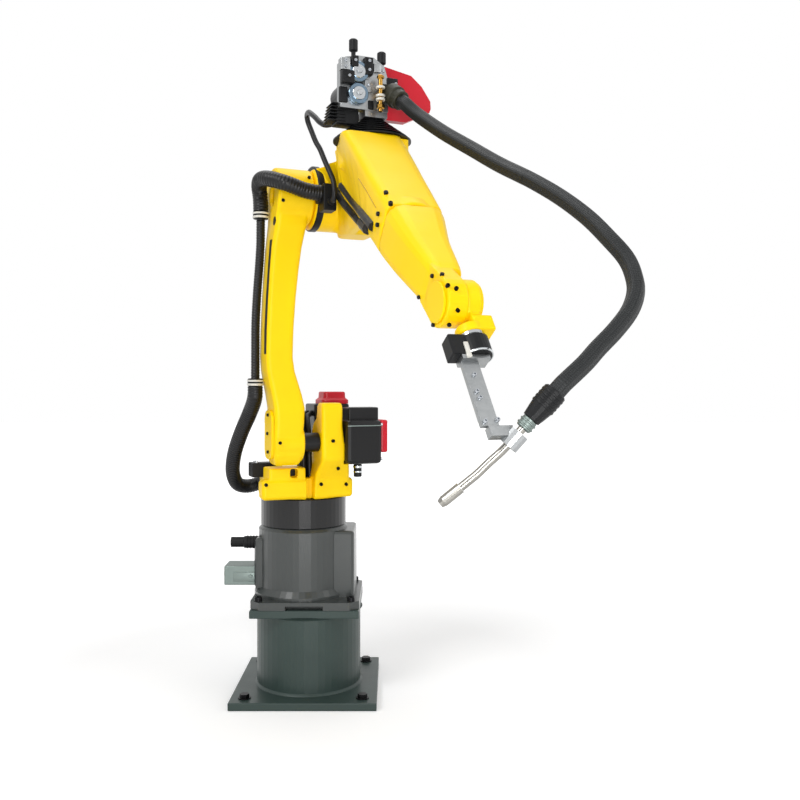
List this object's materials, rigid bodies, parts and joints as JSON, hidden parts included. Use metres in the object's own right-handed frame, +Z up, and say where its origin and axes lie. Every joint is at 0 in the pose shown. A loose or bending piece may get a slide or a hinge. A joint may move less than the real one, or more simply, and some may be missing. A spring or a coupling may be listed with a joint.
{
  "type": "industrial robot arm",
  "caption": "Floor-standing six-axis arc-welding robot on a round steel pedestal, with bowed lower arm, rear-mounted motors, wire feeder on the elbow, and a swan-neck torch at the wrist.",
  "frame": {"origin": "centre of the pedestal's floor plate, at floor level", "axes": "+Z up; +X the way the robot's base faces, away from its connector panel"},
  "size_m": [1.0702, 1.4922, 1.9257],
  "materials": {
    "pedestal_plate": "satin",
    "pedestal_column": "satin",
    "pedestal_top_plate": "satin",
    "base_casting": "satin",
    "swivel_collar": "satin",
    "connector_hood": "satin",
    "power_plug": "satin",
    "turret_casting": "satin",
    "shoulder_motor": "satin",
    "shoulder_motor_cap": "satin",
    "shoulder_reducer": "satin",
    "motor_connector": "satin",
    "swivel_gearbox": "satin",
    "swivel_motor_flange": "satin",
    "swivel_motor": "satin",
    "swivel_motor_cap": "satin",
    "conduit_clamp": "satin",
    "conduit_gland": "satin",
    "lower_conduit": "matte",
    "lower_arm": "satin",
    "lower_arm_cover": "satin",
    "arm_conduit": "matte",
    "upper_conduit": "matte",
    "lower_conduit_coupling": "satin",
    "upper_conduit_coupling": "satin",
    "elbow_casting": "satin",
    "elbow_connectors": "satin",
    "feeder_cable": "matte",
    "feeder_insulator": "satin",
    "feeder_frame": "satin",
    "feeder_motor": "satin",
    "feeder_cover": "satin",
    "lower_feed_roll": "satin",
    "upper_feed_roll": "satin",
    "right_pressure_knob": "satin",
    "left_pressure_knob": "satin",
    "hose_socket": "satin",
    "torch_hose_upper": "matte",
    "forearm_casting": "satin",
    "wrist_arm_cover": "satin",
    "torch_hose_middle": "matte",
    "wrist_housing": "satin",
    "wrist_cover": "satin",
    "torch_hose_lower": "matte",
    "tool_flange": "polished",
    "shock_sensor": "satin",
    "tool_bracket": "satin",
    "torch_clamp": "satin",
    "torch_handle": "satin",
    "torch_neck": "polished",
    "torch_nozzle": "polished"
  },
  "bodies": {
    "base": {"pedestal_plate": "pedestal_plate", "pedestal_column": "pedestal_column", "pedestal_top_plate": "pedestal_top_plate", "base_casting": "base_casting", "swivel_collar": "swivel_collar", "connector_hood": "connector_hood", "power_plug": "power_plug"},
    "turret": {"turret_casting": "turret_casting", "shoulder_motor": "shoulder_motor", "shoulder_motor_cap": "shoulder_motor_cap", "shoulder_reducer": "shoulder_reducer", "motor_connector": "motor_connector", "swivel_gearbox": "swivel_gearbox", "swivel_motor_flange": "swivel_motor_flange", "swivel_motor": "swivel_motor", "swivel_motor_cap": "swivel_motor_cap", "conduit_clamp": "conduit_clamp", "conduit_gland": "conduit_gland", "lower_conduit": "lower_conduit"},
    "lower_arm": {"lower_arm": "lower_arm", "lower_arm_cover": "lower_arm_cover", "arm_conduit": "arm_conduit", "upper_conduit": "upper_conduit", "lower_conduit_coupling": "lower_conduit_coupling", "upper_conduit_coupling": "upper_conduit_coupling"},
    "elbow": {"elbow_casting": "elbow_casting", "elbow_connectors": "elbow_connectors", "feeder_cable": "feeder_cable", "feeder_insulator": "feeder_insulator", "feeder_frame": "feeder_frame", "feeder_motor": "feeder_motor", "feeder_cover": "feeder_cover", "lower_feed_roll": "lower_feed_roll", "upper_feed_roll": "upper_feed_roll", "right_pressure_knob": "right_pressure_knob", "left_pressure_knob": "left_pressure_knob", "hose_socket": "hose_socket", "torch_hose_upper": "torch_hose_upper"},
    "forearm": {"forearm_casting": "forearm_casting", "wrist_arm_cover": "wrist_arm_cover", "torch_hose_middle": "torch_hose_middle"},
    "wrist": {"wrist_housing": "wrist_housing", "wrist_cover": "wrist_cover", "torch_hose_lower": "torch_hose_lower"},
    "tool": {"tool_flange": "tool_flange", "shock_sensor": "shock_sensor", "tool_bracket": "tool_bracket", "torch_clamp": "torch_clamp", "torch_handle": "torch_handle", "torch_neck": "torch_neck", "torch_nozzle": "torch_nozzle"}
  },
  "joints": [
    {"name": "swivel", "type": "hinge", "parent": "base", "child": "turret", "pos_m": [-0.018, 0, 0.292], "axis": [0, 0, 1], "range_deg": [-102, 238]},
    {"name": "shoulder", "type": "hinge", "parent": "turret", "child": "lower_arm", "pos_m": [0.03819, -0.13908, 0.817], "axis": [0.9272, 0.3746, 0], "range_deg": [-80, 45], "deforming": ["lower_conduit"]},
    {"name": "elbow", "type": "hinge", "parent": "lower_arm", "child": "elbow", "pos_m": [0.04564, -0.15752, 1.57674], "axis": [-0.9272, -0.3746, 0], "range_deg": [-40, 95], "deforming": ["upper_conduit"]},
    {"name": "forearm_roll", "type": "hinge", "parent": "elbow", "child": "forearm", "pos_m": [0.3189, -0.83385, 1.35579], "axis": [0.3031, -0.7501, -0.5878], "range_deg": [-190, 190], "deforming": ["torch_hose_upper"]},
    {"name": "wrist_bend", "type": "hinge", "parent": "forearm", "child": "wrist", "pos_m": [0.41588, -1.07388, 1.1677], "axis": [0.9272, 0.3746, 0], "range_deg": [-129, 91], "deforming": ["torch_hose_middle"]},
    {"name": "tool_turn", "type": "hinge", "parent": "wrist", "child": "tool", "pos_m": [0.43736, -1.12706, 1.08578], "axis": [0.2149, -0.5318, -0.8192], "range_deg": [-200, 200], "deforming": ["torch_hose_lower"]}
  ]
}
